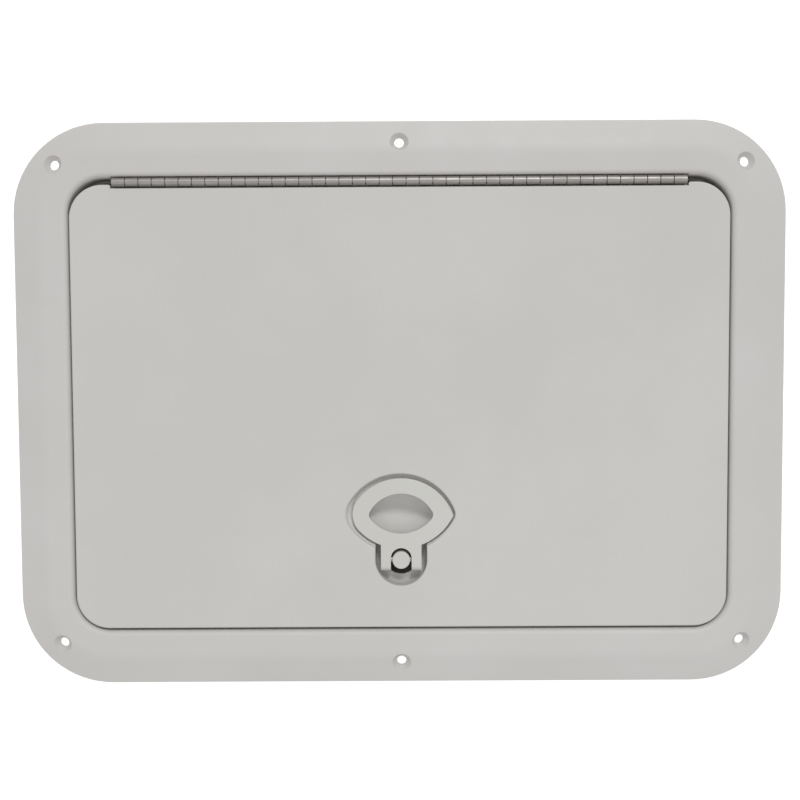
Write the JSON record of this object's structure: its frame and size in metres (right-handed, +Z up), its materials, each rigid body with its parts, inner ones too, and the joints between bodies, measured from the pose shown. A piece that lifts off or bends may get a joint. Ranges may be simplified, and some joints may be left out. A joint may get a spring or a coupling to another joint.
{
  "type": "deck hatch",
  "caption": "Moulded rectangular access hatch: a flanged frame with a collar, a hinged lid on a stainless piano hinge, and a flush ring handle that lifts and turns a cam latch under the lid.",
  "frame": {"origin": "middle of the bottom rim of the frame's collar", "axes": "+X along the hinge, +Y from the latch towards the hinge, +Z up out of the deck"},
  "size_m": [0.381, 0.2794, 0.0345],
  "materials": {
    "frame_plastic": "off-white moulded plastic, satin with a fine even grain",
    "lid_plastic": "off-white moulded plastic with a fine pebbled grain",
    "handle_plastic": "off-white moulded plastic, smoother and a little lighter than the lid",
    "stainless": "rolled stainless steel, lightly brushed",
    "rubber": "black rubber, dull",
    "nylon": "natural nylon, dull"
  },
  "bodies": {
    "frame": {"frame": "frame_plastic", "lid_seal": "rubber", "hinge_leaf_frame": "stainless", "hinge_pin": "stainless", "frame_rivet_1": "stainless", "frame_rivet_2": "stainless", "frame_rivet_3": "stainless", "frame_rivet_4": "stainless", "frame_rivet_5": "stainless"},
    "lid": {"lid": "lid_plastic", "hinge_leaf_lid": "stainless", "spindle_gasket": "rubber", "thrust_washer": "nylon", "lid_rivet_1": "stainless", "lid_rivet_2": "stainless", "lid_rivet_3": "stainless", "lid_rivet_4": "stainless", "lid_rivet_5": "stainless"},
    "latch": {"latch_spindle": "handle_plastic", "latch_pivot_pin": "stainless", "wave_washer": "stainless", "latch_pawl": "stainless", "lock_washer": "stainless", "latch_nut": "stainless"},
    "handle": {"latch_handle": "handle_plastic"}
  },
  "joints": [
    {"name": "lid_hinge", "type": "hinge", "parent": "frame", "child": "lid", "pos_m": [0, 0.1102, 0.0324], "axis": [-1, 0, 0], "range_deg": [0, 155]},
    {"name": "latch_turn", "type": "hinge", "parent": "lid", "child": "latch", "pos_m": [0, -0.0774, 0.033], "axis": [0, 0, 1], "range_deg": [0, 90]},
    {"name": "handle_lift", "type": "hinge", "parent": "latch", "child": "handle", "pos_m": [0, -0.0774, 0.0294], "axis": [1, 0, 0], "range_deg": [0, 90]}
  ],
  "couplings": [
    {"joint": "latch_turn", "follows": "handle_lift", "ratio": 1}
  ]
}
